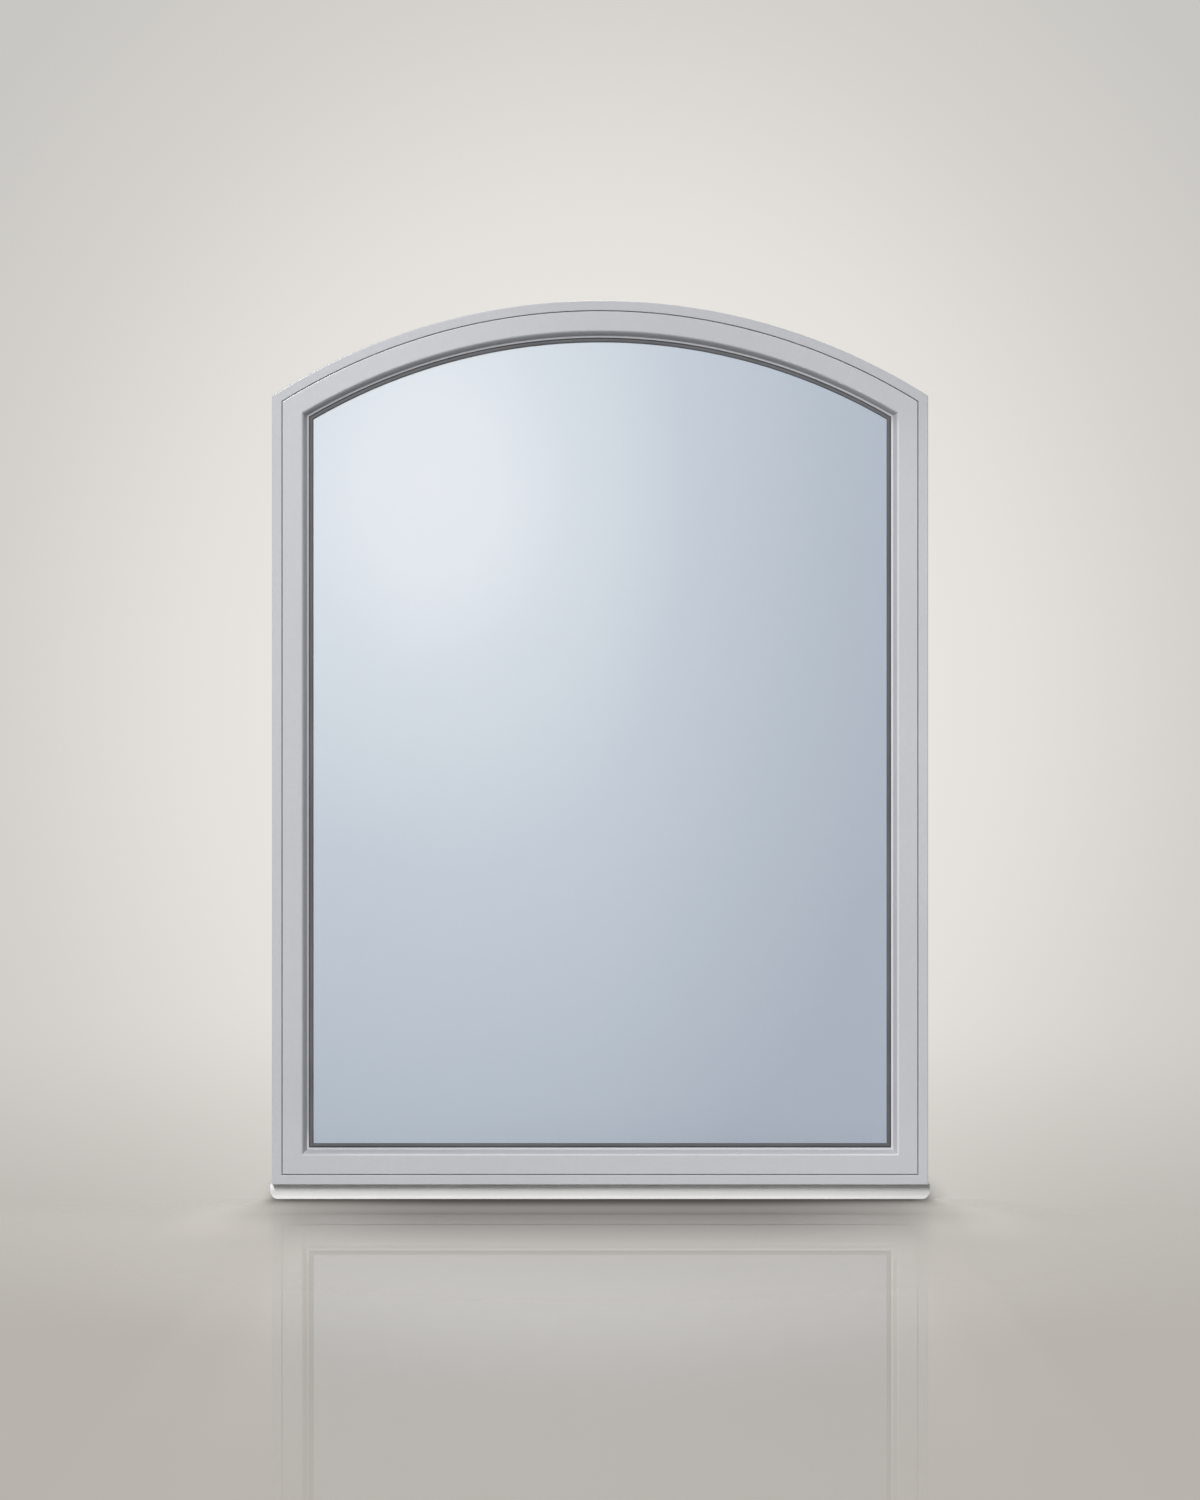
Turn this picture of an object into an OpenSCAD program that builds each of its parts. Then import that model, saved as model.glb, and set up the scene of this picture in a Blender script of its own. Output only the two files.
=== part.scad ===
// Fixed window with a segmental arched head.
// A glazed sash with metal cladding is set in a frame that is clad in the same way,
// and the frame stands on a white sub-sill.
// X runs across the window, the outside faces -Y and Z is up.
// The origin is on the underside of the sub-sill, at mid-width and at mid-depth of the frame.
//
// Every section is drawn once as a flat profile: u is the distance inward from the
// outside edge of the frame, d is the distance outward from the middle of its depth.
// The same profile is extruded for the straight members and revolved for the arched one,
// and all four members meet on shared mitre planes.

/* [Frame] */
// Width over the frame
frame_w = 1220; // [900:5:1500]
// Height from the underside of the frame to the springing of the arch
spring_h = 1467; // [900:1:2000]
// Height of the arch above its springing
arch_h = 177; // [120:1:260]
// Depth of the frame through the wall
frame_depth = 116; // [110:1:160]
// Width of the frame face seen from outside
frame_face_w = 18.25; // [14:0.25:26]
// How far the inside stop stands proud of the frame face edge
stop_reach = 15.5; // [12:0.5:22]
// Radius of the arrises on the painted timber
timber_arris_r = 3; // [1:0.5:4]

/* [Cladding] */
// Wall of the metal cladding
clad_t = 1.8; // [1.2:0.1:2.4]
// Radius of the arrises on the cladding
clad_arris_r = 1.5; // [1:0.25:2.5]
// Depth of the frame cladding along the outside of the frame
clad_outer_leg = 28; // [20:1:40]
// Depth of the cladding along the gap between frame and sash
clad_gap_leg = 22; // [12:1:30]

/* [Sash] */
// Open gap between frame and sash
sash_gap = 1; // [1:0.25:5]
// How far the sash face lies behind the frame face
sash_setback = 1; // [0.5:0.5:4]
// Width of the flat sash face
sash_face_w = 37; // [30:0.5:60]
// Width of the bevel round the glass
bevel_w = 8.5; // [5:0.5:14]
// Depth that the bevel falls back
bevel_depth = 14.5; // [8:0.5:16]
// Radius where the face turns into the bevel
bevel_arris_r = 4; // [1:0.5:6]
// Width of the flat ledge between bevel and gasket
ledge_w = 3.5; // [3:0.25:6]
// Thickness of the sash from its face to its back
sash_t = 68; // [66:1:74]

/* [Glazing] */
// Thickness of each pane
pane_t = 4; // [3:0.5:6]
// Width of the sealed cavity between the panes
cavity_t = 16; // [10:1:16]
// Width of gasket seen round the glass
gasket_w = 8.3; // [6:0.1:12]
// Thickness of the gasket between glass and ledge
gasket_t = 2.2; // [1.5:0.1:3]
// How far the frame covers the edge of the glass
glass_cover = 15; // [12:0.5:16]
// Clearance between glass edge and sash timber
edge_gap = 5; // [3:0.5:6]
// Thickness of the gasket behind the glass
inner_gasket_t = 3; // [2:0.5:4]
// Width of the spacer bar between the panes
spacer_w = 7; // [5:0.5:8]
// Width of the seal between spacer bar and glass edge
edge_seal_w = 5; // [3:0.5:6]
// Depth of the inside glazing bead
bead_depth = 20; // [16:1:22]
// Height of the upright edge of the bead beside the glass
bead_edge_h = 6; // [3:1:10]
// Width of the bead on its inside face
bead_back_w = 12; // [9:0.5:15]
// Length of a block that carries the glass
block_l = 100; // [60:10:150]

/* [Seals and packers] */
// Gap between the back of the sash and the stop, filled by the weatherstrip
strip_h = 4; // [3:0.5:6]
// Width of the weatherstrip
strip_w = 8; // [6:0.5:10]
// Length of a packer between frame and sash
packer_l = 60; // [40:5:100]
// Depth of a packer
packer_depth = 20; // [12:1:24]
// Distance from the end of a member to its packer or glass block
packer_end_l = 220; // [150:10:300]

/* [Sub-sill] */
// Height of the sub-sill
sill_h = 27.5; // [20:0.5:40]
// How far the sub-sill runs past the frame at each end
sill_horn = 4; // [2:0.5:20]
// How far the top of the sub-sill lies behind the frame face
sill_front_gap = 20; // [8:1:40]
// How far the front of the sub-sill leans out from top to bottom
sill_lean = 8; // [0:1:12]
// How far the back of the sub-sill lies inside the back of the frame
sill_back_gap = 4; // [2:1:20]
// Radius of the front and back arrises
sill_arris_r = 1; // [1:0.5:4]
// Radius of the lower corners at the ends
sill_corner_r = 16; // [8:1:19]
// Radius of a sealant groove in the underside
groove_r = 3; // [1.5:0.5:4]
// Distance from front and back to the sealant grooves
groove_edge_l = 18; // [10:1:30]

/* [Fixing holes] */
// Radius of a frame fixing hole
fixing_r = 3; // [2:0.25:4]
// Radius of its countersink
countersink_r = 6; // [5:0.5:7]
// Distance from the ends of a jamb to its outer holes
fixing_end_l = 180; // [120:10:300]
// Number of holes in a jamb
fixing_count = 4; // [2:1:6]

/* [Hidden] */

// Facets of a full turn of the arch, and steps in a rounded arris
arch_fn = 256;
arris_steps = 4;
hole_fn = 32;

// Colours of the finishes
grey_paint = [0.77, 0.775, 0.79];
white_paint = [0.92, 0.92, 0.91];
black_rubber = [0.12, 0.12, 0.13];
dark_plastic = [0.2, 0.2, 0.21];
bare_metal = [0.62, 0.63, 0.65];
blue_glass = [0.72, 0.77, 0.82];

// Elevation of the arch: circle through both springings and the crown
half_w = frame_w / 2;
arch_r = (half_w * half_w + arch_h * arch_h) / (2 * arch_h);
base_z = sill_h;
spring_z = base_z + spring_h;
arch_z = spring_z + arch_h - arch_r;
crown_z = spring_z + arch_h;

// Widths across the section
sash_u = frame_face_w + sash_gap;
bevel_u = sash_u + sash_face_w;
ledge_u = bevel_u + bevel_w;
gasket_u = ledge_u + ledge_w;
sight_u = gasket_u + gasket_w;
glass_u = sight_u - glass_cover;
rebate_u = glass_u - edge_gap;
stop_u = frame_face_w + stop_reach;

// Depths of the section, outward positive
front_d = frame_depth / 2;
back_d = -front_d;
sash_d = front_d - sash_setback;
ledge_d = sash_d - bevel_depth;
lip_d = ledge_d - clad_t;
glass_d = lip_d - gasket_t;
cavity_d = glass_d - pane_t;
inner_pane_d = cavity_d - cavity_t;
glass_back_d = inner_pane_d - pane_t;
bead_d = glass_back_d - inner_gasket_t;
bead_back_d = bead_d - bead_depth;
sash_back_d = sash_d - sash_t;
stop_d = sash_back_d - strip_h;

// Length of the bevel, and how far its inner wall starts before the bevel
bevel_l = norm([bevel_w, bevel_depth]);
bevel_shift = clad_t * (bevel_l - bevel_w) / bevel_depth;
timber_front_u = min(rebate_u, bevel_u - bevel_shift);

// Sub-sill
sill_top_d = front_d - sill_front_gap;
sill_foot_d = sill_top_d + sill_lean;
sill_back_d = back_d + sill_back_gap;

// Cuts and zones reach past what they cut by this much
overrun = 4;
zone_u = sight_u + overrun;

// Height on the springing mitre at a distance u inward, on the chord from corner to corner
function corner_z(u) = arch_z + sqrt(pow(arch_r - u, 2) - pow(half_w - u, 2));
mitre_slope = (corner_z(sight_u) - spring_z) / sight_u;
function mitre_z(u) = spring_z + mitre_slope * u;

// Angle from the crown to the springing, and the margin swept past it
spring_angle = asin(half_w / arch_r);
sweep_angle = spring_angle + asin(4 * overrun / arch_r);

function unit(v) = v / norm(v);

// Points of an arc about c from angle a by the given sweep
function arc_points(c, r, a, sweep, steps) =
    [for (i = [0:steps]) c + r * [cos(a + sweep * i / steps), sin(a + sweep * i / steps)]];

// Points that round the corner q between p and s
function corner_points(p, q, s, r) =
    let (
        to_p = unit(p - q),
        to_s = unit(s - q),
        half = acos(to_p * to_s) / 2,
        c = q + unit(to_p + to_s) * r / sin(half),
        first = q + to_p * r / tan(half) - c,
        last = q + to_s * r / tan(half) - c,
        a = atan2(first.y, first.x),
        sweep = (atan2(last.y, last.x) - a + 540) % 360 - 180
    )
    arc_points(c, r, a, sweep, arris_steps);

// Outline through rows of [u, d] or [u, d, arris radius]
function outline(rows) =
    let (n = len(rows), at = [for (row = rows) [row.x, row.y]])
    [for (i = [0:n - 1])
        each (len(rows[i]) > 2 ? corner_points(at[(i + n - 1) % n], at[i], at[(i + 1) % n], rows[i][2])
            : [at[i]])];

// Section of the frame timber: rebated for the cladding in front, with the stop behind
module frame_timber_profile() {
    polygon(outline([
        [0, back_d],
        [0, front_d - clad_outer_leg],
        [clad_t, front_d - clad_outer_leg],
        [clad_t, front_d - clad_t],
        [frame_face_w - clad_t, front_d - clad_t],
        [frame_face_w - clad_t, front_d - clad_gap_leg],
        [frame_face_w, front_d - clad_gap_leg],
        [frame_face_w, stop_d],
        [stop_u, stop_d, timber_arris_r / 2],
        [stop_u, back_d, timber_arris_r]
    ]));
}

// Section of the frame cladding: a channel over the front of the timber
module frame_cladding_profile() {
    polygon(outline([
        [0, front_d - clad_outer_leg],
        [0, front_d, clad_arris_r],
        [frame_face_w, front_d, clad_arris_r],
        [frame_face_w, front_d - clad_gap_leg],
        [frame_face_w - clad_t, front_d - clad_gap_leg],
        [frame_face_w - clad_t, front_d - clad_t],
        [clad_t, front_d - clad_t],
        [clad_t, front_d - clad_outer_leg]
    ]));
}

// Section of the sash timber: open rebate for glass and bead
module sash_timber_profile() {
    polygon(outline([
        [sash_u, sash_back_d, timber_arris_r / 2],
        [sash_u, sash_d - clad_gap_leg],
        [sash_u + clad_t, sash_d - clad_gap_leg],
        [sash_u + clad_t, sash_d - clad_t],
        [timber_front_u, sash_d - clad_t],
        if (rebate_u > timber_front_u)
            [rebate_u, sash_d - clad_t - (rebate_u - timber_front_u) * bevel_depth / bevel_w],
        [rebate_u, sash_back_d, timber_arris_r]
    ]));
}

// Section of the sash cladding: gap leg, face, bevel and the ledge that holds the gasket
module sash_cladding_profile() {
    polygon(outline([
        [sash_u, sash_d - clad_gap_leg],
        [sash_u, sash_d, clad_arris_r],
        [bevel_u, sash_d, bevel_arris_r],
        [ledge_u, ledge_d],
        [gasket_u, ledge_d, clad_t / 3],
        [gasket_u, lip_d],
        [ledge_u - bevel_shift, lip_d],
        [bevel_u - bevel_shift, sash_d - clad_t],
        [sash_u + clad_t, sash_d - clad_t],
        [sash_u + clad_t, sash_d - clad_gap_leg]
    ]));
}

// Section of the outer gasket: a foot under the ledge, a groove and a rounded rib on the glass
gasket_groove_share = 0.14;
gasket_side_share = 0.1;
gasket_round_share = 0.24;
module outer_gasket_profile() {
    rib_d = (ledge_d + lip_d) / 2;
    groove_d = (glass_d + lip_d) / 2;
    groove_u = gasket_u + gasket_w * gasket_groove_share;
    polygon(outline([
        [ledge_u - bevel_shift, glass_d],
        [ledge_u - bevel_shift, lip_d],
        [gasket_u, lip_d],
        [gasket_u, groove_d],
        [groove_u, groove_d],
        [groove_u + gasket_w * gasket_side_share, rib_d, gasket_w * gasket_round_share],
        [sight_u - gasket_w * gasket_side_share, rib_d, gasket_w * gasket_round_share],
        [sight_u, glass_d]
    ]));
}

// Section of the gasket between glass and bead
module inner_gasket_profile() {
    polygon([
        [rebate_u, bead_d],
        [sight_u, bead_d],
        [sight_u, glass_back_d],
        [glass_u, glass_back_d],
        [rebate_u, bead_d + inner_gasket_t / 2]
    ]);
}

// Section of the glazing bead: upright beside the glass, then splayed back to the sash
module glazing_bead_profile() {
    polygon(outline([
        [rebate_u, bead_d],
        [rebate_u, bead_back_d],
        [rebate_u + bead_back_w, bead_back_d, timber_arris_r / 2],
        [sight_u, bead_d - bead_edge_h, timber_arris_r / 2],
        [sight_u, bead_d]
    ]));
}

// Section of the weatherstrip: a flat foot on the stop and a rounded back against the sash
module weatherstrip_profile() {
    strip_u = (sash_u + stop_u - strip_w) / 2;
    polygon(outline([
        [strip_u, stop_d],
        [strip_u, sash_back_d, strip_h / 2],
        [strip_u + strip_w, sash_back_d, strip_h / 2],
        [strip_u + strip_w, stop_d]
    ]));
}

// Prism through the whole depth over points of the elevation
module zone(points) {
    translate([0, front_d + overrun, 0])
        rotate([90, 0, 0])
            linear_extrude(frame_depth + 2 * overrun)
                polygon(points);
}

module left_zone() {
    zone([
        [-half_w - overrun, base_z - overrun],
        [-half_w + zone_u, base_z + zone_u],
        [-half_w + zone_u, mitre_z(zone_u)],
        [-half_w - overrun, mitre_z(-overrun)]
    ]);
}

module bottom_zone() {
    zone([
        [-half_w - overrun, base_z - overrun],
        [half_w + overrun, base_z - overrun],
        [half_w - zone_u, base_z + zone_u],
        [-half_w + zone_u, base_z + zone_u]
    ]);
}

module head_zone() {
    zone([
        [-half_w - overrun, mitre_z(-overrun)],
        [-half_w + zone_u, mitre_z(zone_u)],
        [half_w - zone_u, mitre_z(zone_u)],
        [half_w + overrun, mitre_z(-overrun)],
        [half_w + overrun, crown_z + overrun],
        [-half_w - overrun, crown_z + overrun]
    ]);
}

// Members made from the profile given as child
module left_member() {
    intersection() {
        translate([-half_w, 0, base_z - overrun])
            mirror([0, 1, 0])
                linear_extrude(spring_h + 2 * overrun)
                    children();
        left_zone();
    }
}

module right_member() {
    mirror([1, 0, 0]) left_member() children();
}

module bottom_member() {
    intersection() {
        translate([-half_w - overrun, 0, base_z])
            rotate([0, -90, 180])
                linear_extrude(frame_w + 2 * overrun)
                    children();
        bottom_zone();
    }
}

module head_member() {
    intersection() {
        translate([0, 0, arch_z])
            rotate([90, 0, 0])
                rotate_extrude(angle = 2 * sweep_angle, start = 90 - sweep_angle, $fn = arch_fn)
                    translate([arch_r, 0])
                        mirror([1, 0])
                            children();
        head_zone();
    }
}

// Elevation outline of the window at a distance u inside the frame edge
module arched_outline(u) {
    intersection() {
        translate([-half_w + u, base_z + u])
            square([frame_w - 2 * u, spring_h + arch_h - 2 * u]);
        translate([0, arch_z])
            circle(r = arch_r - u, $fn = arch_fn);
    }
}

// Plate of that outline between two depths, open inside the second outline where given
module arched_plate(u, d, t, open_u = 0) {
    translate([0, t - d, 0])
        rotate([90, 0, 0])
            linear_extrude(t)
                difference() {
                    arched_outline(u);
                    if (open_u > 0)
                        arched_outline(open_u);
                }
}

// Frame
module fixing_holes() {
    first_z = base_z + fixing_end_l;
    pitch = (spring_h - 2 * fixing_end_l) / (fixing_count - 1);
    for (i = [0:fixing_count - 1])
        translate([-half_w, -(stop_d + back_d) / 2, first_z + i * pitch])
            rotate([0, 90, 0]) {
                translate([0, 0, -overrun])
                    cylinder(r = fixing_r, h = stop_u + 2 * overrun, $fn = hole_fn);
                translate([0, 0, stop_u + fixing_r - countersink_r])
                    cylinder(r1 = fixing_r, r2 = countersink_r, h = countersink_r - fixing_r, $fn = hole_fn);
            }
}

module frame_jamb_left() {
    color(grey_paint)
        difference() {
            left_member() frame_timber_profile();
            fixing_holes();
        }
}

module frame_jamb_right() {
    mirror([1, 0, 0]) frame_jamb_left();
}

module frame_head() {
    color(grey_paint) head_member() frame_timber_profile();
}

module frame_bottom() {
    color(grey_paint) bottom_member() frame_timber_profile();
}

module frame_cladding_left() {
    color(grey_paint) left_member() frame_cladding_profile();
}

module frame_cladding_right() {
    color(grey_paint) right_member() frame_cladding_profile();
}

module frame_cladding_head() {
    color(grey_paint) head_member() frame_cladding_profile();
}

module frame_cladding_bottom() {
    color(grey_paint) bottom_member() frame_cladding_profile();
}

// Sash
module sash_stile_left() {
    color(grey_paint) left_member() sash_timber_profile();
}

module sash_stile_right() {
    color(grey_paint) right_member() sash_timber_profile();
}

module sash_top_rail() {
    color(grey_paint) head_member() sash_timber_profile();
}

module sash_bottom_rail() {
    color(grey_paint) bottom_member() sash_timber_profile();
}

module sash_cladding_left() {
    color(grey_paint) left_member() sash_cladding_profile();
}

module sash_cladding_right() {
    color(grey_paint) right_member() sash_cladding_profile();
}

module sash_cladding_head() {
    color(grey_paint) head_member() sash_cladding_profile();
}

module sash_cladding_bottom() {
    color(grey_paint) bottom_member() sash_cladding_profile();
}

// Glazing
module outer_pane() {
    color(blue_glass) arched_plate(glass_u, glass_d, pane_t);
}

module inner_pane() {
    color(blue_glass) arched_plate(glass_u, inner_pane_d, pane_t);
}

module spacer_bar() {
    color(bare_metal)
        arched_plate(glass_u + edge_seal_w, cavity_d, cavity_t, glass_u + edge_seal_w + spacer_w);
}

module edge_seal() {
    color(dark_plastic) arched_plate(glass_u, cavity_d, cavity_t, glass_u + edge_seal_w);
}

module setting_blocks() {
    block_x = half_w - packer_end_l - block_l / 2;
    color(dark_plastic)
        for (x = [-block_x, block_x])
            translate([x - block_l / 2, -glass_d, base_z + rebate_u])
                cube([block_l, glass_d - glass_back_d, edge_gap]);
}

module outer_gasket_left() {
    color(black_rubber) left_member() outer_gasket_profile();
}

module outer_gasket_right() {
    color(black_rubber) right_member() outer_gasket_profile();
}

module outer_gasket_head() {
    color(black_rubber) head_member() outer_gasket_profile();
}

module outer_gasket_bottom() {
    color(black_rubber) bottom_member() outer_gasket_profile();
}

module inner_gasket_left() {
    color(black_rubber) left_member() inner_gasket_profile();
}

module inner_gasket_right() {
    color(black_rubber) right_member() inner_gasket_profile();
}

module inner_gasket_head() {
    color(black_rubber) head_member() inner_gasket_profile();
}

module inner_gasket_bottom() {
    color(black_rubber) bottom_member() inner_gasket_profile();
}

module glazing_bead_left() {
    color(grey_paint) left_member() glazing_bead_profile();
}

module glazing_bead_right() {
    color(grey_paint) right_member() glazing_bead_profile();
}

module glazing_bead_head() {
    color(grey_paint) head_member() glazing_bead_profile();
}

module glazing_bead_bottom() {
    color(grey_paint) bottom_member() glazing_bead_profile();
}

// Seals and packers between frame and sash
module weatherstrip_left() {
    color(black_rubber) left_member() weatherstrip_profile();
}

module weatherstrip_right() {
    color(black_rubber) right_member() weatherstrip_profile();
}

module weatherstrip_head() {
    color(black_rubber) head_member() weatherstrip_profile();
}

module weatherstrip_bottom() {
    color(black_rubber) bottom_member() weatherstrip_profile();
}

module sash_packers() {
    packer_y = -(sash_d - clad_gap_leg);
    side_u = half_w - frame_face_w;
    bottom_x = half_w - packer_end_l;
    side_zs = [base_z + packer_end_l, spring_z - packer_end_l];
    color(dark_plastic) {
        for (x = [-bottom_x, bottom_x])
            translate([x - packer_l / 2, packer_y, base_z + frame_face_w])
                cube([packer_l, packer_depth, sash_gap]);
        for (x = [-side_u, side_u - sash_gap], z = side_zs)
            translate([x, packer_y, z - packer_l / 2])
                cube([sash_gap, packer_depth, packer_l]);
    }
}

// Sub-sill: a bar under the frame with a leaning front and two grooves in its underside
module sub_sill_profile() {
    difference() {
        polygon(outline([
            [sill_back_d, sill_h, sill_arris_r],
            [sill_back_d, 0, sill_arris_r],
            [sill_foot_d, 0, sill_arris_r],
            [sill_top_d, sill_h]
        ]));
        for (d = [sill_back_d + groove_edge_l, sill_foot_d - groove_edge_l])
            translate([d, 0])
                circle(r = groove_r, $fn = hole_fn);
    }
}

module sub_sill() {
    end_x = half_w + sill_horn;
    color(white_paint)
        intersection() {
            rotate([90, 0, -90])
                linear_extrude(2 * end_x + 2 * overrun, center = true)
                    sub_sill_profile();
            translate([0, front_d + overrun, 0])
                rotate([90, 0, 0])
                    linear_extrude(frame_depth + 2 * overrun)
                        polygon(outline([
                            [-end_x, sill_h + overrun],
                            [-end_x, 0, sill_corner_r],
                            [end_x, 0, sill_corner_r],
                            [end_x, sill_h + overrun]
                        ]));
        }
}

sub_sill();
frame_jamb_left();
frame_jamb_right();
frame_head();
frame_bottom();
frame_cladding_left();
frame_cladding_right();
frame_cladding_head();
frame_cladding_bottom();
sash_stile_left();
sash_stile_right();
sash_top_rail();
sash_bottom_rail();
sash_cladding_left();
sash_cladding_right();
sash_cladding_head();
sash_cladding_bottom();
outer_pane();
inner_pane();
spacer_bar();
edge_seal();
setting_blocks();
outer_gasket_left();
outer_gasket_right();
outer_gasket_head();
outer_gasket_bottom();
inner_gasket_left();
inner_gasket_right();
inner_gasket_head();
inner_gasket_bottom();
glazing_bead_left();
glazing_bead_right();
glazing_bead_head();
glazing_bead_bottom();
weatherstrip_left();
weatherstrip_right();
weatherstrip_head();
weatherstrip_bottom();
sash_packers();
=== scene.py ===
import math

import bpy
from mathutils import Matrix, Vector


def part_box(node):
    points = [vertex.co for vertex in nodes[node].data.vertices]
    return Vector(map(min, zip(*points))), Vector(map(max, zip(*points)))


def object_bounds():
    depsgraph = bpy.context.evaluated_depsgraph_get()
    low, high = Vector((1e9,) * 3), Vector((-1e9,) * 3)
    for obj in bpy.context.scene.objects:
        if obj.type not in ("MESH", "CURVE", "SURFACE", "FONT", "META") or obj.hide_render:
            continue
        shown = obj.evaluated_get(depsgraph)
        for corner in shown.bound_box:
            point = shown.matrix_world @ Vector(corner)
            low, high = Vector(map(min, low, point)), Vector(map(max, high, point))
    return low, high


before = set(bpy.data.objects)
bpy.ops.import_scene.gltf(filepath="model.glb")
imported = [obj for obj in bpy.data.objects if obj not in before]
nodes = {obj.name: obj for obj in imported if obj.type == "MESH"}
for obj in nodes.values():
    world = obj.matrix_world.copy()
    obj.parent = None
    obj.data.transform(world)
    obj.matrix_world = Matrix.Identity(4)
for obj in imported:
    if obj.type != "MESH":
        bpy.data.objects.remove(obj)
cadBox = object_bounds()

# How the photograph is framed
photo = {
    "width": 1200,
    "height": 1500,
    "middleX": 600.05,          # pixel column of the window's middle
    "floorLineY": 1199.5,       # pixel row that the sill stands on
    "frameWidthPixels": 656.1,  # what the frame's width covers
    "distance": 16.0,           # metres from the camera to the frame's face
    "sensor": 36.0,
    "clipEnd": 64.0,
}


def linear(red, green, blue):
    # screen colour, 0 to 255, as a colour of light
    def one(value):
        value = value / 255
        return value / 12.92 if value <= 0.04045 else ((value + 0.055) / 1.055) ** 2.4
    return (one(red), one(green), one(blue), 1.0)


def swing(noise, spread):
    # a noise, which runs from 0 to 1, as a small change up and down
    return (noise - 0.5) * spread


class Term:
    # a shader socket that stands in an expression
    def __init__(self, tree, socket):
        self.tree = tree
        self.socket = socket

    def __add__(self, other):
        return self.tree.math("ADD", self, other)

    def __radd__(self, other):
        return self.tree.math("ADD", other, self)

    def __sub__(self, other):
        return self.tree.math("SUBTRACT", self, other)

    def __rsub__(self, other):
        return self.tree.math("SUBTRACT", other, self)

    def __mul__(self, other):
        return self.tree.math("MULTIPLY", self, other)

    def __rmul__(self, other):
        return self.tree.math("MULTIPLY", other, self)

    def __truediv__(self, other):
        return self.tree.math("DIVIDE", self, other)

    def __rtruediv__(self, other):
        return self.tree.math("DIVIDE", other, self)


class ShaderTree:
    # builds the nodes of one material or world
    def __init__(self, owner):
        owner.use_nodes = True
        self.nodes = owner.node_tree.nodes
        self.links = owner.node_tree.links
        self.nodes.clear()

    def make(self, kind, settings=None, sockets=None):
        # settings first, for they may change which sockets there are; then the sockets
        node = self.nodes.new(kind)
        for name, value in (settings or {}).items():
            if name == "stops":
                ramp = node.color_ramp
                while len(ramp.elements) < len(value):
                    ramp.elements.new(0.5)
                for element, (position, colour) in zip(ramp.elements, value):
                    element.position = position
                    element.color = colour
            else:
                setattr(node, name, value)
        for key, value in (sockets or {}).items():
            if isinstance(value, Term):
                self.links.new(value.socket, node.inputs[key])
            else:
                node.inputs[key].default_value = value
        return node

    def add(self, kind, settings=None, sockets=None, output=0):
        return Term(self, self.make(kind, settings, sockets).outputs[output])

    def math(self, operation, first, second):
        return self.add("ShaderNodeMath", {"operation": operation}, {0: first, 1: second})

    def most(self, first, second):
        return self.math("MAXIMUM", first, second)

    def least(self, first, second):
        return self.math("MINIMUM", first, second)

    def length(self, across, up):
        return self.math("POWER", across * across + up * up, 0.5)

    def size(self, value):
        # how far a value is from 0, on either side
        return self.math("POWER", value * value, 0.5)

    def point(self):
        # the place on the surface, in the object's own metres
        return self.add("ShaderNodeTexCoord", output="Object")

    def split(self, vector):
        node = self.make("ShaderNodeSeparateXYZ", sockets={0: vector})
        return [Term(self, part) for part in node.outputs]

    def vector(self, x, y, z):
        return self.add("ShaderNodeCombineXYZ", sockets={0: x, 1: y, 2: z})

    def noise(self, vector, scale, detail=3.0, roughness=0.5):
        return self.add("ShaderNodeTexNoise", {"noise_dimensions": "3D"}, {
            "Vector": vector, "Scale": scale, "Detail": detail, "Roughness": roughness})

    def smooth(self, value, low, high, start=0.0, end=1.0):
        # start up to low, end from high on, and a soft change between
        return self.add("ShaderNodeMapRange", {"interpolation_type": "SMOOTHSTEP"}, {
            "Value": value, "From Min": low, "From Max": high, "To Min": start, "To Max": end})

    def fade(self, value, low, high):
        return self.smooth(value, low, high, 1.0, 0.0)

    def band(self, value, low, full, less, high):
        # nothing outside low and high, and all between full and less
        return self.smooth(value, low, full) * self.fade(value, less, high)

    def ramp(self, value, stops):
        return self.add("ShaderNodeValToRGB", {"stops": stops}, {0: value})

    def tint(self, amount, first, second):
        # sockets 6 and 7 of a Mix node are its two colours, and output 2 is the colour
        return self.add("ShaderNodeMix", {"data_type": "RGBA"},
                        {0: amount, 6: first, 7: second}, output=2)

    def bump(self, height, distance, strength=0.5):
        return self.add("ShaderNodeBump", sockets={
            "Strength": strength, "Distance": distance, "Height": height})

    def shown(self):
        # 1 where the camera sees a point, straight, in a gloss or through glass,
        # and 0 where the point only lights others
        straight, gloss, through = (
            self.add("ShaderNodeLightPath", output=name)
            for name in ("Is Camera Ray", "Is Glossy Ray", "Is Transmission Ray"))
        return straight + gloss + through

    def mixed(self, share, first, second):
        return self.add("ShaderNodeMixShader", sockets={0: share, 1: first, 2: second})

    def finish(self, shader):
        self.make("ShaderNodeOutputMaterial", sockets={"Surface": shader})


def newMaterial(name):
    material = bpy.data.materials.new(name)
    return material, ShaderTree(material)


# Camera, level and square on, with the frame's face at the scale of the photograph
def makeCamera():
    frameLow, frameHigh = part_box("frame_cladding_bottom")
    metresPerPixel = (frameHigh.x - frameLow.x) / photo["frameWidthPixels"]
    seenHeight = photo["height"] * metresPerPixel
    data = bpy.data.cameras.new("camera")
    data.sensor_width = photo["sensor"]
    data.lens = photo["sensor"] * photo["distance"] / seenHeight
    data.clip_end = photo["clipEnd"]
    camera = bpy.data.objects.new("camera", data)
    camera.location = (
        (photo["width"] / 2 - photo["middleX"]) * metresPerPixel,
        frameLow.y - photo["distance"],
        (photo["floorLineY"] - photo["height"] / 2) * metresPerPixel,
    )
    camera.rotation_euler = (math.radians(90), 0, 0)
    bpy.context.scene.collection.objects.link(camera)
    bpy.context.scene.camera = camera
    print("camera set")
    return metresPerPixel


metresPerPixel = makeCamera()

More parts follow.
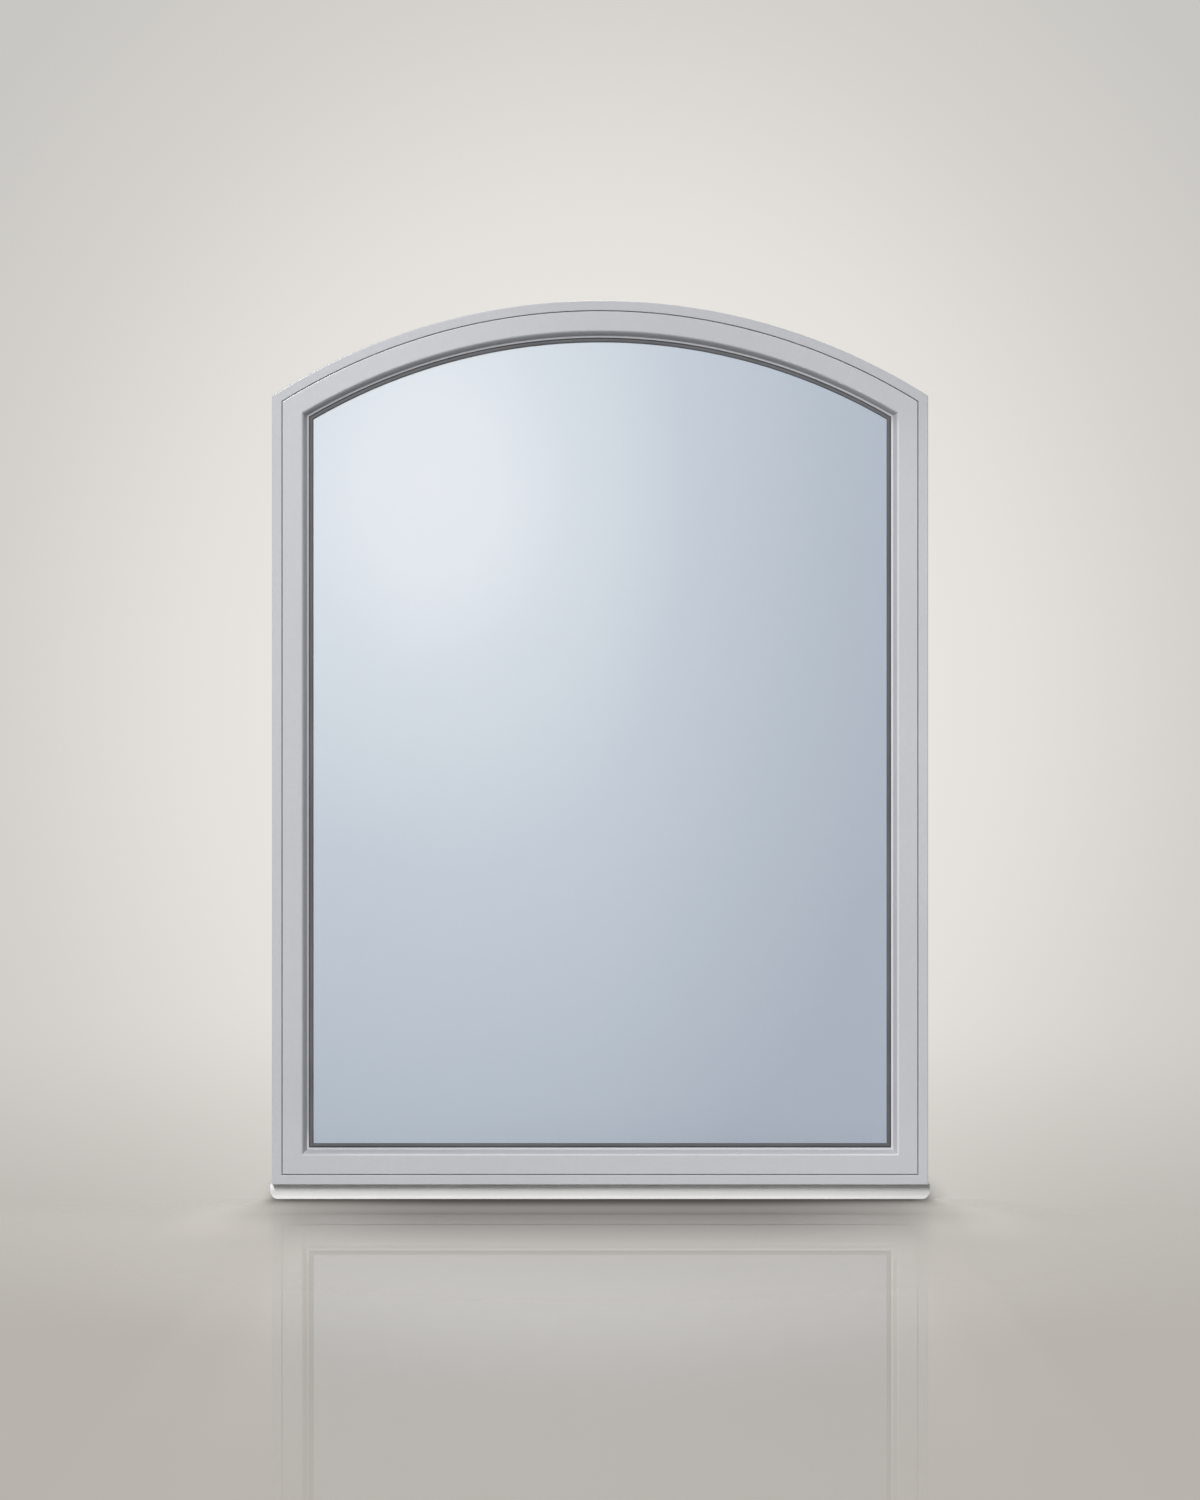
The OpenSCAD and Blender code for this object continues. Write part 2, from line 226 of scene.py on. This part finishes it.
# The frame's outline: its half width, its foot, and the centre and radius of its arch
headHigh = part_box("frame_cladding_head")[1]
sideLow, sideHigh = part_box("frame_cladding_left")
frameHalf = headHigh.x
frameFoot = sideLow.z
archRise = headHigh.z - sideHigh.z
archRadius = (frameHalf ** 2 + archRise ** 2) / (2 * archRise)
archCentreZ = headHigh.z - archRadius

# Satin powder coat on the metal cladding, with painted light and shade in its colour. Lengths are
# in metres: "In" is counted inwards from the frame's outline, "X" from the window's middle and
# "Z" upwards from the floor.
coat = {
    "colour": (210, 211, 216),
    "shade": (188, 189, 194),
    "level": 0.5,               # how far from shade to colour, before all that follows
    "fadeAcross": 0.16,         # painted light, paler to the right
    "cloudScale": 3.0,
    "cloudDetail": 4.0,
    "cloudShare": 0.2,
    "mixRange": (0.35, 0.65),
    "speckleScale": 150.0,
    "specklePart": 0.3,
    "peelScale": 900.0,         # the fine skin of a sprayed coat
    "peelDetail": 2.0,
    "peelDepth": 0.00003,
    # painted shade at the foot, at the head and on the frame's upper rim
    "footShade": 0.2,
    "footBandZ": (0.08, 0.2, 0.1, 1.1),
    "headShade": 0.42,
    "headFromZ": (1.3, 1.56),
    "headFromX": (-0.4, 0.0),
    "rimShade": 0.2,          # painted shade on the frame's own edge, outside the gap
    "rimToIn": (0.017, 0.0195),
    "rimFromZ": (1.1, 1.4),
    "palePatch": 0.2,           # where the key lamp strikes
    "paleXZ": (-0.42, 1.5),
    "paleReach": 0.6,
    "leftToX": (-0.5, 0.0),
    "rightFromX": (0.4, 0.5),
    "topFromZ": (1.43, 1.465),
    "recessShade": (70, 71, 74),      # painted shade on the bevel and the ledge
    "recessShadeFromIn": (0.0577, 0.0603),
    "recessShadeShare": 0.07,
    "recessShadeLeft": 0.1,
    "recessShadeHead": 0.2,
    "paintedHighlight": (240, 241, 245),    # painted highlight on the rounded arris before the bevel
    "highlightBandIn": (0.0543, 0.0554, 0.0562, 0.0575),
    "highlightFromX": (-0.52, -0.45),
    "highlightFoot": 0.35,
    "highlightRight": 0.75,
    "ledgeFromIn": (0.0645, 0.065),
    "ledgeFootZ": (0.1, 0.14),
    # painted shade on the left ledge, and a painted highlight on the right and bottom ones
    "ledgeLeft": 0.2,
    "ledgeLit": 0.4,
    "roughness": 0.34,
    "roughnessSpread": 0.06,
    "gloss": 0.35,
    "glossRoughness": 0.14,
}


def makeCoat():
    material, tree = newMaterial("lightGreyCoat")
    point = tree.point()
    x, _, z = tree.split(point)
    cloud = tree.noise(point, coat["cloudScale"], coat["cloudDetail"])
    peel = tree.noise(point, coat["peelScale"], coat["peelDetail"])
    speckle = tree.noise(point, coat["speckleScale"])
    mixed = tree.smooth(cloud * (1 - coat["specklePart"]) + speckle * coat["specklePart"],
                        *coat["mixRange"])

    # how far in from the outline a point lies tells the frame, the face, the bevel and
    # the ledge apart
    inward = tree.least(tree.least(frameHalf - tree.size(x), z - frameFoot),
                        archRadius - tree.length(x, z - archCentreZ))
    left = tree.fade(x, *coat["leftToX"])
    right = tree.smooth(x, *coat["rightFromX"])
    top = tree.smooth(z, *coat["topFromZ"])
    ledge = tree.smooth(inward, *coat["ledgeFromIn"])

    foot = tree.band(z, *coat["footBandZ"])
    head = tree.smooth(z, *coat["headFromZ"]) * tree.smooth(x, *coat["headFromX"])
    rim = tree.fade(inward, *coat["rimToIn"]) * tree.smooth(z, *coat["rimFromZ"])
    paleX, paleZ = coat["paleXZ"]
    paintedLight = tree.fade(tree.length(x - paleX, z - paleZ), 0.0, coat["paleReach"])
    # the clouds are random tone; the rest is painted light and shade: paler to the right, painted
    # shade at the foot, head and upper rim, and painted light where the key lamp strikes
    level = (coat["level"] + swing(mixed, coat["cloudShare"]) + x * coat["fadeAcross"]
             - foot * coat["footShade"] - head * coat["headShade"]
             - rim * coat["rimShade"] + paintedLight * coat["palePatch"])

    # painted shade on the bevel and the ledge, deeper on the left and in the head
    recessShade = tree.smooth(inward, *coat["recessShadeFromIn"]) * (
        left * coat["recessShadeLeft"] + top * coat["recessShadeHead"] + coat["recessShadeShare"]
        + ledge * left * (1 - top) * coat["ledgeLeft"])
    # painted highlights on the arris before the bevel and on the right and bottom ledges
    arris = tree.band(inward, *coat["highlightBandIn"]) * (
        right * (coat["highlightRight"] - coat["highlightFoot"])
        + tree.smooth(x, *coat["highlightFromX"]) * coat["highlightFoot"])
    lit = ledge * tree.most(right, tree.fade(z, *coat["ledgeFootZ"])) * coat["ledgeLit"]
    paintedHighlight = (arris + lit) * (1 - top)

    toned = tree.tint(level, linear(*coat["shade"]), linear(*coat["colour"]))
    shaded = tree.tint(recessShade, toned, linear(*coat["recessShade"]))
    tree.finish(tree.add("ShaderNodeBsdfPrincipled", sockets={
        "Base Color": tree.tint(paintedHighlight, shaded, linear(*coat["paintedHighlight"])),
        "Roughness": coat["roughness"] + swing(speckle, coat["roughnessSpread"]),
        "Coat Weight": coat["gloss"],
        "Coat Roughness": coat["glossRoughness"],
        "Normal": tree.bump(peel, coat["peelDepth"]),
    }))
    return material


# Satin paint on timber, with faint brush marks along each member
paint = {
    "colour": (202, 203, 207),
    "shade": (194, 195, 199),
    "markLength": 7.0,          # marks to a metre along the member, and across it
    "markWidth": 420.0,
    "markDetail": 4.0,
    "markRoughness": 0.6,
    "markDepth": 0.00006,
    "markStrength": 0.6,
    "markPart": 0.45,
    "cloudScale": 4.0,
    "mixRange": (0.38, 0.62),
    "roughness": 0.48,
    "roughnessSpread": 0.1,
}

# White paint on the sub-sill, with painted shade across it under the frame
whitePaint = {
    **paint,
    "colour": (236, 236, 235),
    "shade": (228, 228, 227),
    "sillShade": (150, 150, 149),
    "sillShadeBandZ": (0.0, 0.012, 0.0155, 0.021),
    "sillShadeShare": 0.42,
    "markLength": 5.0,
    "markWidth": 300.0,
    "markDepth": 0.00008,
    "roughness": 0.45,
}


def alongMember(tree, way):
    # object place with the member's own length first: up, across or round the arch
    point = tree.point()
    x, y, z = tree.split(point)
    if way == "across":
        return point
    if way == "up":
        return tree.vector(z, y, x)
    rise = z - archCentreZ
    return tree.vector(tree.math("ARCTAN2", x, rise) * archRadius, y, tree.length(x, rise))


def makePaint(name, way, look):
    material, tree = newMaterial(name)
    member = alongMember(tree, way)
    stretched = tree.add("ShaderNodeMapping", sockets={
        "Vector": member,
        "Scale": (look["markLength"], look["markWidth"], look["markWidth"]),
    })
    marks = tree.noise(stretched, 1.0, look["markDetail"], look["markRoughness"])
    cloud = tree.noise(member, look["cloudScale"])
    mixed = tree.smooth(marks * look["markPart"] + cloud * (1 - look["markPart"]),
                        *look["mixRange"])
    colour = tree.tint(mixed, linear(*look["shade"]), linear(*look["colour"]))
    # painted shade on the sill under the frame's overhang
    if "sillShade" in look:
        z = tree.split(tree.point())[2]
        sillShade = tree.band(z, *look["sillShadeBandZ"])
        colour = tree.tint(sillShade * look["sillShadeShare"], colour, linear(*look["sillShade"]))
    tree.finish(tree.add("ShaderNodeBsdfPrincipled", sockets={
        "Base Color": colour,
        "Roughness": look["roughness"] + swing(marks, look["roughnessSpread"]),
        "Normal": tree.bump(marks, look["markDepth"], look["markStrength"]),
    }))
    return material


# Rubber of the gaskets and weatherstrips
rubber = {
    "colour": (96, 97, 100),
    "shade": (80, 81, 84),
    "grainScale": 1400.0,
    "grainDepth": 0.00005,
    "grainPart": 0.4,
    "bloomScale": 9.0,          # the pale bloom that old rubber gets
    "mixRange": (0.35, 0.65),
    "roughness": 0.62,
    "roughnessSpread": 0.12,
}


def makeRubber():
    material, tree = newMaterial("blackRubber")
    point = tree.point()
    grain = tree.noise(point, rubber["grainScale"])
    bloom = tree.noise(point, rubber["bloomScale"])
    mixed = tree.smooth(grain * rubber["grainPart"] + bloom * (1 - rubber["grainPart"]),
                        *rubber["mixRange"])
    tree.finish(tree.add("ShaderNodeBsdfPrincipled", sockets={
        "Base Color": tree.tint(mixed, linear(*rubber["shade"]), linear(*rubber["colour"])),
        "Roughness": rubber["roughness"] + swing(bloom, rubber["roughnessSpread"]),
        "Normal": tree.bump(grain, rubber["grainDepth"]),
    }))
    return material


# Reflecting glass: a painted reflection of a soft sky glow, brightest at the upper left, a little
# dimmer on the inner pane, and a clear gloss over it
glass = {
    "glowPixel": (430, 485),    # where the glow is brightest, in the photograph
    "reachPixels": 750,
    "glowAcross": 1.13,
    "glowUp": 0.85,
    "duller": 0.2,              # less light to the right of the middle
    "stops": (
        (0.0, (230, 235, 242)),
        (0.1, (227, 233, 240)),
        (0.2, (215, 224, 232)),
        (0.44, (193, 203, 216)),
        (0.68, (178, 190, 203)),
        (0.92, (165, 176, 191)),
    ),
    "innerDim": 0.92,
    "rippleScale": 2.2,
    "ripple": 0.05,
    "roughness": 0.3,
    "gloss": 0.04,
    "glossIor": 1.5,
}


def makeGlass(name, dim=1.0):
    material, tree = newMaterial(name)
    point = tree.point()
    x, _, z = tree.split(point)
    glowColumn, glowRow = glass["glowPixel"]
    glowX = (glowColumn - photo["middleX"]) * metresPerPixel
    glowZ = (photo["floorLineY"] - glowRow) * metresPerPixel
    far = (tree.length((x - glowX) * glass["glowAcross"], (z - glowZ) * glass["glowUp"])
           / (glass["reachPixels"] * metresPerPixel))
    ripple = tree.noise(point, glass["rippleScale"])
    # the base colour is a painted reflection of the sky glow
    level = far + tree.most(x, 0) * glass["duller"] + swing(ripple, glass["ripple"])
    stops = [(position, linear(*(part * dim for part in colour)))
             for position, colour in glass["stops"]]
    tree.finish(tree.add("ShaderNodeBsdfPrincipled", sockets={
        "Base Color": tree.ramp(level, stops),
        "Roughness": glass["roughness"],
        "Coat Weight": 1.0,
        "Coat Roughness": glass["gloss"],
        "Coat IOR": glass["glossIor"],
    }))
    return material


# Moulded plastic of the packers and blocks
plastic = {
    "colour": (58, 59, 62),
    "shade": (46, 47, 50),
    "grainScale": 1100.0,
    "grainDetail": 2.0,
    "grainDepth": 0.00006,
    "roughness": 0.55,
    "roughnessSpread": 0.15,
}


def makePlastic():
    material, tree = newMaterial("darkPlastic")
    grain = tree.noise(tree.point(), plastic["grainScale"], plastic["grainDetail"])
    tree.finish(tree.add("ShaderNodeBsdfPrincipled", sockets={
        "Base Color": tree.tint(grain, linear(*plastic["shade"]), linear(*plastic["colour"])),
        "Roughness": plastic["roughness"] + swing(grain, plastic["roughnessSpread"]),
        "Normal": tree.bump(grain, plastic["grainDepth"]),
    }))
    return material


# Rolled metal of the spacer bar
spacer = {
    "colour": (176, 178, 181),
    "shade": (158, 160, 163),
    "lineLength": 4.0,          # rolling lines to a metre along the bar, and across it
    "lineScale": 900.0,
    "metal": 0.9,
    "roughness": 0.38,
    "roughnessSpread": 0.15,
}


def makeSpacer():
    material, tree = newMaterial("spacerMetal")
    x, y, z = tree.split(tree.point())
    length = spacer["lineLength"]
    lines = tree.noise(tree.vector(x * length, y * spacer["lineScale"], z * length), 1.0)
    tree.finish(tree.add("ShaderNodeBsdfPrincipled", sockets={
        "Base Color": tree.tint(lines, linear(*spacer["shade"]), linear(*spacer["colour"])),
        "Metallic": spacer["metal"],
        "Roughness": spacer["roughness"] + swing(lines, spacer["roughnessSpread"]),
    }))
    return material


def dress(material, *names):
    for name in names:
        slots = nodes[name].data.materials
        slots.clear()
        slots.append(material)


def ring(*pieces):
    # the names of each piece's four members round the window
    return [f"{piece}_{side}" for piece in pieces for side in ("left", "right", "head", "bottom")]


def dressNodes():
    dress(makeCoat(), *ring("frame_cladding", "sash_cladding"))
    ways = {
        "up": ("frame_jamb_left", "frame_jamb_right", "sash_stile_left", "sash_stile_right",
               "glazing_bead_left", "glazing_bead_right"),
        "across": ("frame_bottom", "sash_bottom_rail", "glazing_bead_bottom"),
        "round": ("frame_head", "sash_top_rail", "glazing_bead_head"),
    }
    for way, names in ways.items():
        dress(makePaint("lightGreyPaint" + way.capitalize(), way, paint), *names)
    dress(makePaint("whiteSillPaint", "across", whitePaint), "sub_sill")
    dress(makeRubber(), "edge_seal", *ring("outer_gasket", "inner_gasket", "weatherstrip"))
    dress(makeGlass("outerGlass"), "outer_pane")
    dress(makeGlass("innerGlass", glass["innerDim"]), "inner_pane")
    dress(makePlastic(), "setting_blocks", "sash_packers")
    dress(makeSpacer(), "spacer_bar")
    print("finishes set on", len(nodes), "nodes")


dressNodes()

# Backdrop: a pale wall whose painted light falls off from the middle, running down into the
# floor's tone, which has a painted pool of light round the window's foot. Distances are in pixels
# of the photograph.
backdrop = {
    "middleY": 690,             # row of the wall's palest part
    "upShare": 0.85,
    "reach": 900,
    "stops": (
        (0.3, (235, 232, 227)),
        (0.47, (227, 224, 219)),
        (0.66, (213, 210, 205)),
        (0.87, (201, 199, 195)),
    ),
    "floorTone": (184, 179, 173),
    "floorFromY": 1000,
    "floorToY": 1345,
    # painted pool of light round the window's foot
    "poolTone": (208, 205, 200),
    "poolY": 1210,
    "poolReach": (570, 210),
}

# Light that comes from all round. Ranges are parts of a direction: aside, up and backwards.
ambient = {
    "colour": (250, 251, 255),
    "strength": 0.115,
    "behind": 0.35,             # added behind the window
    "behindFrom": (0.0, 0.4),
    "beside": 1.1,              # added low at the sides, as a pale floor throws it up
    "besideAside": (0.3, 0.8),
    "besideUp": (-0.3, 0.05),
    "besideFrom": (0.0, 0.3),
}


def makeWorld():
    world = bpy.data.worlds.new("studio")
    bpy.context.scene.world = world
    tree = ShaderTree(world)
    x, y, z = tree.split(tree.add("ShaderNodeTexCoord", output="Generated"))
    perPixel = metresPerPixel / photo["distance"]

    def upTo(row):
        # how far up a direction points that meets this row of the photograph
        return (photo["height"] / 2 - row) * perPixel

    # painted light on the wall, falling off from its middle
    far = tree.length(x, (z - upTo(backdrop["middleY"])) * backdrop["upShare"])
    wall = tree.ramp(far / (perPixel * backdrop["reach"]),
                     [(position, linear(*colour)) for position, colour in backdrop["stops"]])
    # painted pool of light on the floor round the window's foot
    poolWide, poolHigh = backdrop["poolReach"]
    pool = tree.fade(tree.length(x / (perPixel * poolWide),
                                 (z - upTo(backdrop["poolY"])) / (perPixel * poolHigh)), 0.0, 1.0)
    ground = tree.tint(pool, linear(*backdrop["floorTone"]), linear(*backdrop["poolTone"]))
    above = tree.smooth(z, upTo(backdrop["floorToY"]), upTo(backdrop["floorFromY"]))
    seen = tree.add("ShaderNodeBackground", sockets={
        "Color": tree.tint(above, ground, wall), "Strength": 1.0})

    behind = tree.smooth(y, *ambient["behindFrom"], 0.0, ambient["behind"])
    beside = (tree.smooth(tree.size(x), *ambient["besideAside"])
              * tree.fade(z, *ambient["besideUp"])
              * tree.smooth(y, *ambient["besideFrom"], 0.0, ambient["beside"]))
    lit = tree.add("ShaderNodeBackground", sockets={
        "Color": linear(*ambient["colour"]), "Strength": behind + beside + ambient["strength"]})
    tree.make("ShaderNodeOutputWorld", sockets={"Surface": tree.mixed(tree.shown(), lit, seen)})
    print("world set")


makeWorld()

# Floor: a plain pale disc under the window. Its paint fades out into the backdrop's tone at an
# oval in front and close behind. It has a painted shadow in front of the foot, painted shade that
# grows farther ahead and under the mirrored sides, and painted light a little beside the foot,
# and a faint polish mirrors the window. Lengths are in metres, "Ahead" towards the camera, "Back"
# away from it and "Aside" to both sides of the window's middle.
floor = {
    "radius": 9.0,
    "sides": 96,
    "colour": (207, 202, 195),
    "shade": (206, 201, 194),
    "speckleScale": 60.0,
    "speckleRange": (0.3, 0.7),
    "bounce": (176, 174, 169),  # what it throws up on the window
    "ovalAside": 1.5,
    "ovalAhead": 4.4,
    "ovalCore": 0.35,
    "cornerAside": (0.68, 0.82),    # where the paint beside the window ends early
    "cornerBack": (-0.75, -0.1),
    "backReach": (0.3, 1.2),
    "backAside": (0.57, 0.67),
    "backFrom": (-0.35, 0.02),
    # painted light a little beside the foot
    "paleColour": (219, 214, 206),
    "paleAhead": (-0.05, 0.4, 0.9, 1.6),
    "paleAside": (0.53, 0.6, 0.65, 0.8),
    "footDark": 0.72,           # painted shadow, deep at the foot, which thins towards its ends
    "footAhead": (0.07, 0.37),
    "footAside": (0.6, 0.635),
    "footThins": 0.75,
    "footEndsAside": (0.2, 0.7),
    "footEndsAhead": (0.06, 0.25),
    "shadeDark": (0.385, 0.525),    # wide painted shadow past it, which deepens and then fades
    "shadeDeepens": (0.45, 0.6),
    "shadeAhead": (0.5, 1.85),
    "shadeAside": (0.26, 0.74),
    # painted shade that grows farther ahead
    "farDark": 0.105,
    "farAhead": (0.4, 2.4),
    "memberDark": 0.05,         # painted shade under the mirrored sides of the window
    "memberAside": (0.48, 0.55, 0.6, 0.65),
    "memberAhead": (0.9, 2.0),
    # the colour the painted shadow runs towards
    "paintedShadowTone": (0.014, 0.002, 0.0, 1.0),
    "polish": 0.2,
    "polishAhead": (2.5, 9.0),
    "polishFrom": (0.3, 0.75),
    "polishAside": (0.59, 0.635),
    "polishMember": 0.5,
    "polishMemberAside": (0.46, 0.54),
    "polishColour": (1.0, 0.975, 0.94, 1.0),
    "polishRoughness": 0.01,
}


def makeDisc():
    turn = 2 * math.pi / floor["sides"]
    rim = [(floor["radius"] * math.cos(i * turn), floor["radius"] * math.sin(i * turn), 0)
           for i in range(floor["sides"])]
    mesh = bpy.data.meshes.new("floor")
    mesh.from_pydata(rim, [], [list(range(floor["sides"]))])
    disc = bpy.data.objects.new("floor", mesh)
    bpy.context.scene.collection.objects.link(disc)
    return disc


def makeFloorPaint():
    material, tree = newMaterial("floorPaint")
    point = tree.point()
    x, y, _ = tree.split(point)
    ahead = 0 - y
    aside = tree.size(x)

    # where the paint covers the floor
    oval = tree.length(x / floor["ovalAside"], tree.most(ahead, 0) / floor["ovalAhead"])
    corner = tree.smooth(aside, *floor["cornerAside"]) * tree.smooth(y, *floor["cornerBack"])
    inFront = tree.fade(oval, floor["ovalCore"], 1.0) * (1 - corner)
    behind = tree.fade(y, *floor["backReach"]) * tree.fade(aside, *floor["backAside"])
    cover = inFront + (behind - inFront) * tree.smooth(y, *floor["backFrom"])

    speckle = tree.smooth(tree.noise(point, floor["speckleScale"]), *floor["speckleRange"])
    # painted light a little beside the foot
    paintedLight = tree.band(ahead, *floor["paleAhead"]) * tree.band(aside, *floor["paleAside"])
    tone = tree.tint(paintedLight, tree.tint(speckle, linear(*floor["shade"]), linear(*floor["colour"])),
                     linear(*floor["paleColour"]))

    # painted shadow: deep at the foot, wide past it, growing farther ahead and under the mirrored
    # sides
    ends = (tree.smooth(aside, *floor["footEndsAside"], 0.0, floor["footThins"])
            * tree.smooth(ahead, *floor["footEndsAhead"]))
    foot = (tree.fade(ahead, *floor["footAhead"]) * tree.fade(aside, *floor["footAside"])
            * (1 - ends) * floor["footDark"])
    shade = (tree.fade(ahead, *floor["shadeAhead"]) * tree.fade(aside, *floor["shadeAside"])
             * tree.smooth(ahead, *floor["shadeDeepens"], *floor["shadeDark"]))
    far = tree.smooth(ahead, *floor["farAhead"], 0.0, floor["farDark"])
    member = (tree.band(aside, *floor["memberAside"])
              * tree.smooth(ahead, *floor["memberAhead"], 0.0, floor["memberDark"]))
    paintedShadow = 1 - (1 - foot) * (1 - shade) * (1 - far) * (1 - member)
    matt = tree.add("ShaderNodeBsdfPrincipled", sockets={
        "Base Color": tree.tint(tree.shown(), linear(*floor["bounce"]),
                                tree.tint(paintedShadow, tone, floor["paintedShadowTone"])),
        "Roughness": 1.0,
        "Specular IOR Level": 0.0,
    })
    painted = tree.mixed(cover, tree.add("ShaderNodeBsdfTransparent"), matt)

    polish = (tree.smooth(ahead, *floor["polishAhead"], floor["polish"], 0.0)
              * tree.fade(aside, *floor["polishAside"])
              * tree.smooth(aside, *floor["polishMemberAside"], 1.0, floor["polishMember"])
              * tree.smooth(ahead, *floor["polishFrom"]))
    gloss = tree.add("ShaderNodeBsdfGlossy", sockets={
        "Color": floor["polishColour"], "Roughness": floor["polishRoughness"]})
    tree.finish(tree.mixed(polish, painted, gloss))
    return material


def makeFloor():
    disc = makeDisc()
    disc.data.materials.append(makeFloorPaint())
    print("floor set")


makeFloor()

# Lamps: a tall soft box at the upper left in front, a weak fill from a very large one in front,
# and a tall narrow one high behind. Each stands at a distance in metres, turned to the left
# (azimuth below 0) and raised (elevation) in degrees, and faces the window's middle.
lamps = {
    "key": {"azimuth": -20, "elevation": 29, "distance": 14.0, "wide": 2.4, "high": 6.0,
            "power": 1590, "colour": (1.0, 1.0, 1.0)},
    "fill": {"azimuth": 8, "elevation": 8, "distance": 22.0, "wide": 18.0, "high": 12.0,
             "power": 400, "colour": (0.97, 0.98, 1.0)},
    "behind": {"azimuth": 180, "elevation": 57, "distance": 24.0, "wide": 2.4, "high": 11.6,
               "power": 1500, "colour": (1.0, 0.99, 0.97)},
}


def makeLamps():
    target = Vector((0, 0, (cadBox[0].z + cadBox[1].z) / 2))
    for name, lamp in lamps.items():
        azimuth = math.radians(lamp["azimuth"])
        elevation = math.radians(lamp["elevation"])
        towards = Vector((
            math.sin(azimuth) * math.cos(elevation),
            -math.cos(azimuth) * math.cos(elevation),
            math.sin(elevation),
        ))
        data = bpy.data.lights.new(name, "AREA")
        data.shape = "RECTANGLE"
        data.size = lamp["wide"]
        data.size_y = lamp["high"]
        data.energy = lamp["power"]
        data.color = lamp["colour"]
        lit = bpy.data.objects.new(name, data)
        lit.location = target + towards * lamp["distance"]
        lit.rotation_euler = towards.to_track_quat("Z", "Y").to_euler()
        bpy.context.scene.collection.objects.link(lit)
    print("lamps set")


makeLamps()

bpy.context.scene.view_settings.view_transform = "Standard"
